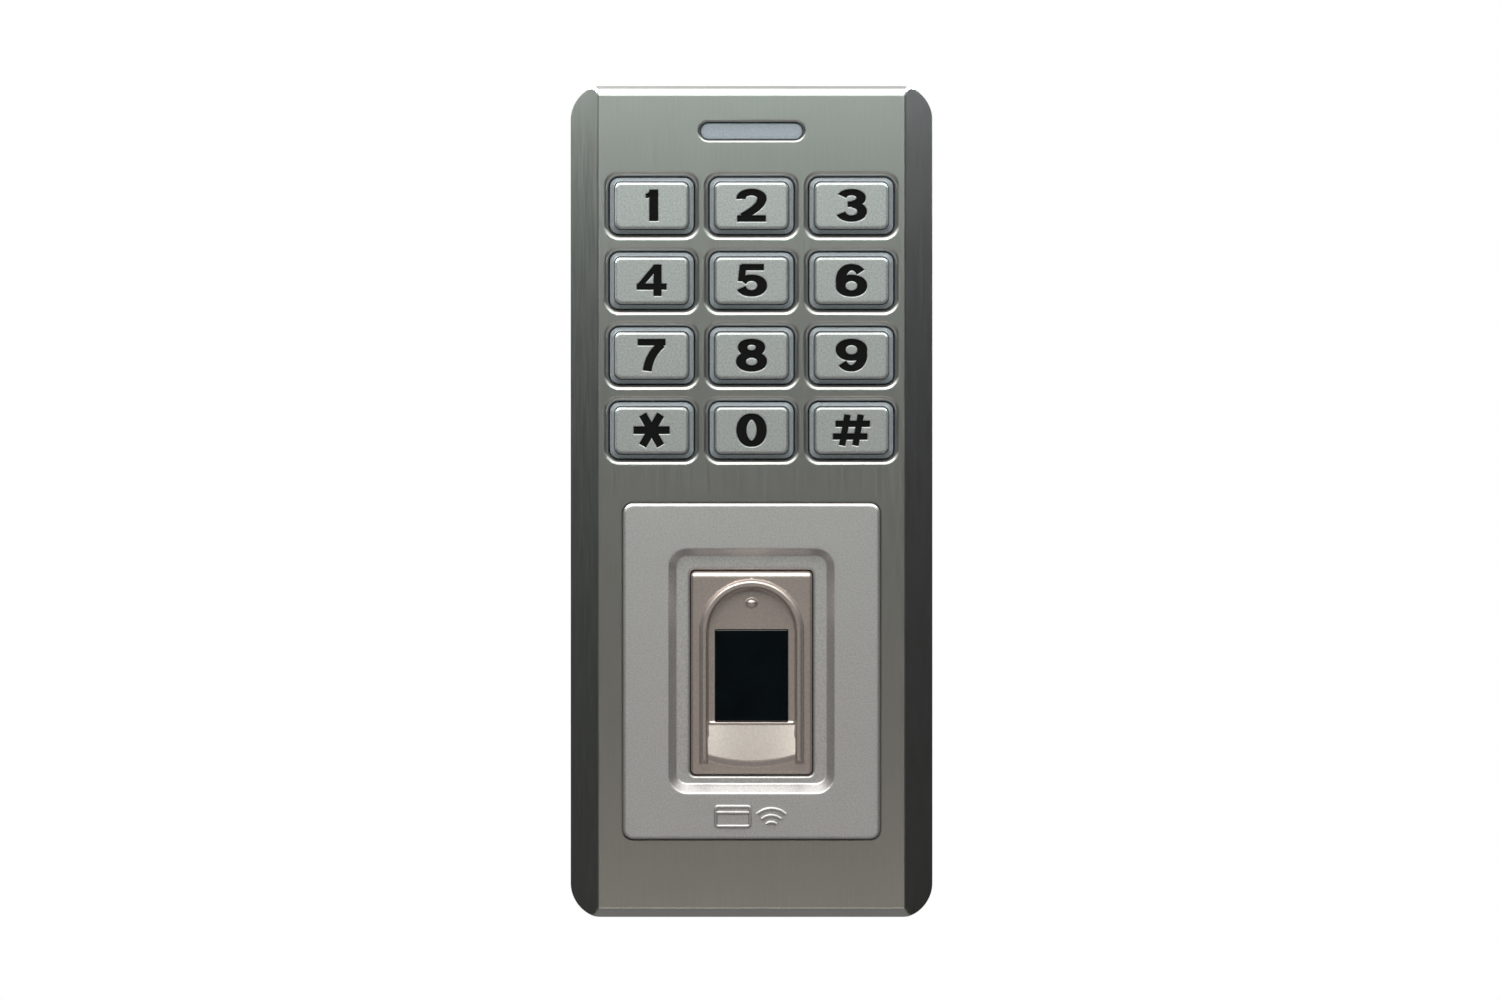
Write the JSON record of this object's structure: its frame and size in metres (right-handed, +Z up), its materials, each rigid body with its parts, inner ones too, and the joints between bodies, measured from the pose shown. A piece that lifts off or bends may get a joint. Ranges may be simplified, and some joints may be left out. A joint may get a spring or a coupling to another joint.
{
  "type": "fingerprint access terminal",
  "caption": "Slim wall-mounted access terminal: bevelled metal case, status light slot, sprung metal keypad, and a card panel with a recessed fingerprint reader.",
  "frame": {"origin": "middle of the mounting plate's back face, on the wall plane", "axes": "+Z up along the case, +Y into the wall, +X to the right as seen from the front; the face looks along -Y"},
  "size_m": [0.07, 0.0261, 0.16],
  "materials": {
    "nickel_case": "satin nickel plate, brushed from top to bottom",
    "key_metal": "satin chrome plate",
    "key_silicone": "translucent grey-blue silicone",
    "silicone_mat": "milky silicone",
    "milky_lens": "milky polycarbonate",
    "silver_panel": "silver paint with a fine grain",
    "champagne_guide": "pearl champagne paint, semi-gloss",
    "dark_window": "dark polished optical window",
    "black_foam": "closed-cell foam",
    "black_rubber": "moulded rubber",
    "black_housing": "glass-filled nylon",
    "cover_plastic": "spark-eroded ABS",
    "circuit_board": "green solder mask",
    "led_package": "light-emitting diode package",
    "chip_plastic": "moulded package",
    "relay_case": "blue moulded case",
    "connector_plastic": "ivory nylon",
    "capacitor_can": "bare aluminium can",
    "copper_coil": "enamelled copper winding",
    "ribbon_film": "polyimide film",
    "clear_plastic": "clear acrylic",
    "zinc_steel": "zinc-plated steel sheet",
    "screw_steel": "zinc-plated steel"
  },
  "bodies": {
    "terminal": {"front_case": "nickel_case", "keypad_mat": "silicone_mat", "status_lens": "milky_lens", "status_leds": "led_package", "card_panel": "silver_panel", "panel_gasket": "black_foam", "clamp_frame": "zinc_steel", "antenna_coil": "copper_coil", "finger_guide": "champagne_guide", "sensor_window": "dark_window", "sensor_housing": "black_housing", "sensor_board": "circuit_board", "ribbon_connectors": "connector_plastic", "sensor_ribbon": "ribbon_film", "main_board": "circuit_board", "backlight_leds": "led_package", "processor": "chip_plastic", "relay": "relay_case", "driver_chips": "chip_plastic", "cable_header": "connector_plastic", "capacitors": "capacitor_can", "buzzer": "chip_plastic", "tamper_sensor": "led_package", "rear_cover": "cover_plastic", "cover_seal": "black_rubber", "cable_grommet": "black_rubber", "tamper_light_pipe": "clear_plastic", "mounting_plate": "zinc_steel", "clamp_screws": "screw_steel", "module_screws": "screw_steel", "board_screws": "screw_steel", "cover_screws": "screw_steel", "locking_screw": "screw_steel"},
    "key_1": {"key_cap_1": "key_metal", "key_skirt_1": "key_silicone"},
    "key_2": {"key_cap_2": "key_metal", "key_skirt_2": "key_silicone"},
    "key_3": {"key_cap_3": "key_metal", "key_skirt_3": "key_silicone"},
    "key_4": {"key_cap_4": "key_metal", "key_skirt_4": "key_silicone"},
    "key_5": {"key_cap_5": "key_metal", "key_skirt_5": "key_silicone"},
    "key_6": {"key_cap_6": "key_metal", "key_skirt_6": "key_silicone"},
    "key_7": {"key_cap_7": "key_metal", "key_skirt_7": "key_silicone"},
    "key_8": {"key_cap_8": "key_metal", "key_skirt_8": "key_silicone"},
    "key_9": {"key_cap_9": "key_metal", "key_skirt_9": "key_silicone"},
    "key_star": {"key_cap_star": "key_metal", "key_skirt_star": "key_silicone"},
    "key_0": {"key_cap_0": "key_metal", "key_skirt_0": "key_silicone"},
    "key_hash": {"key_cap_hash": "key_metal", "key_skirt_hash": "key_silicone"}
  },
  "joints": [
    {"name": "key_1_press", "type": "slide", "parent": "terminal", "child": "key_1", "axis": [0, 1, 0], "range_m": [0, 0.0008], "stiffness_N_per_m": 900, "springref_m": -0.0006},
    {"name": "key_2_press", "type": "slide", "parent": "terminal", "child": "key_2", "axis": [0, 1, 0], "range_m": [0, 0.0008], "stiffness_N_per_m": 900, "springref_m": -0.0006},
    {"name": "key_3_press", "type": "slide", "parent": "terminal", "child": "key_3", "axis": [0, 1, 0], "range_m": [0, 0.0008], "stiffness_N_per_m": 900, "springref_m": -0.0006},
    {"name": "key_4_press", "type": "slide", "parent": "terminal", "child": "key_4", "axis": [0, 1, 0], "range_m": [0, 0.0008], "stiffness_N_per_m": 900, "springref_m": -0.0006},
    {"name": "key_5_press", "type": "slide", "parent": "terminal", "child": "key_5", "axis": [0, 1, 0], "range_m": [0, 0.0008], "stiffness_N_per_m": 900, "springref_m": -0.0006},
    {"name": "key_6_press", "type": "slide", "parent": "terminal", "child": "key_6", "axis": [0, 1, 0], "range_m": [0, 0.0008], "stiffness_N_per_m": 900, "springref_m": -0.0006},
    {"name": "key_7_press", "type": "slide", "parent": "terminal", "child": "key_7", "axis": [0, 1, 0], "range_m": [0, 0.0008], "stiffness_N_per_m": 900, "springref_m": -0.0006},
    {"name": "key_8_press", "type": "slide", "parent": "terminal", "child": "key_8", "axis": [0, 1, 0], "range_m": [0, 0.0008], "stiffness_N_per_m": 900, "springref_m": -0.0006},
    {"name": "key_9_press", "type": "slide", "parent": "terminal", "child": "key_9", "axis": [0, 1, 0], "range_m": [0, 0.0008], "stiffness_N_per_m": 900, "springref_m": -0.0006},
    {"name": "key_star_press", "type": "slide", "parent": "terminal", "child": "key_star", "axis": [0, 1, 0], "range_m": [0, 0.0008], "stiffness_N_per_m": 900, "springref_m": -0.0006},
    {"name": "key_0_press", "type": "slide", "parent": "terminal", "child": "key_0", "axis": [0, 1, 0], "range_m": [0, 0.0008], "stiffness_N_per_m": 900, "springref_m": -0.0006},
    {"name": "key_hash_press", "type": "slide", "parent": "terminal", "child": "key_hash", "axis": [0, 1, 0], "range_m": [0, 0.0008], "stiffness_N_per_m": 900, "springref_m": -0.0006}
  ]
}
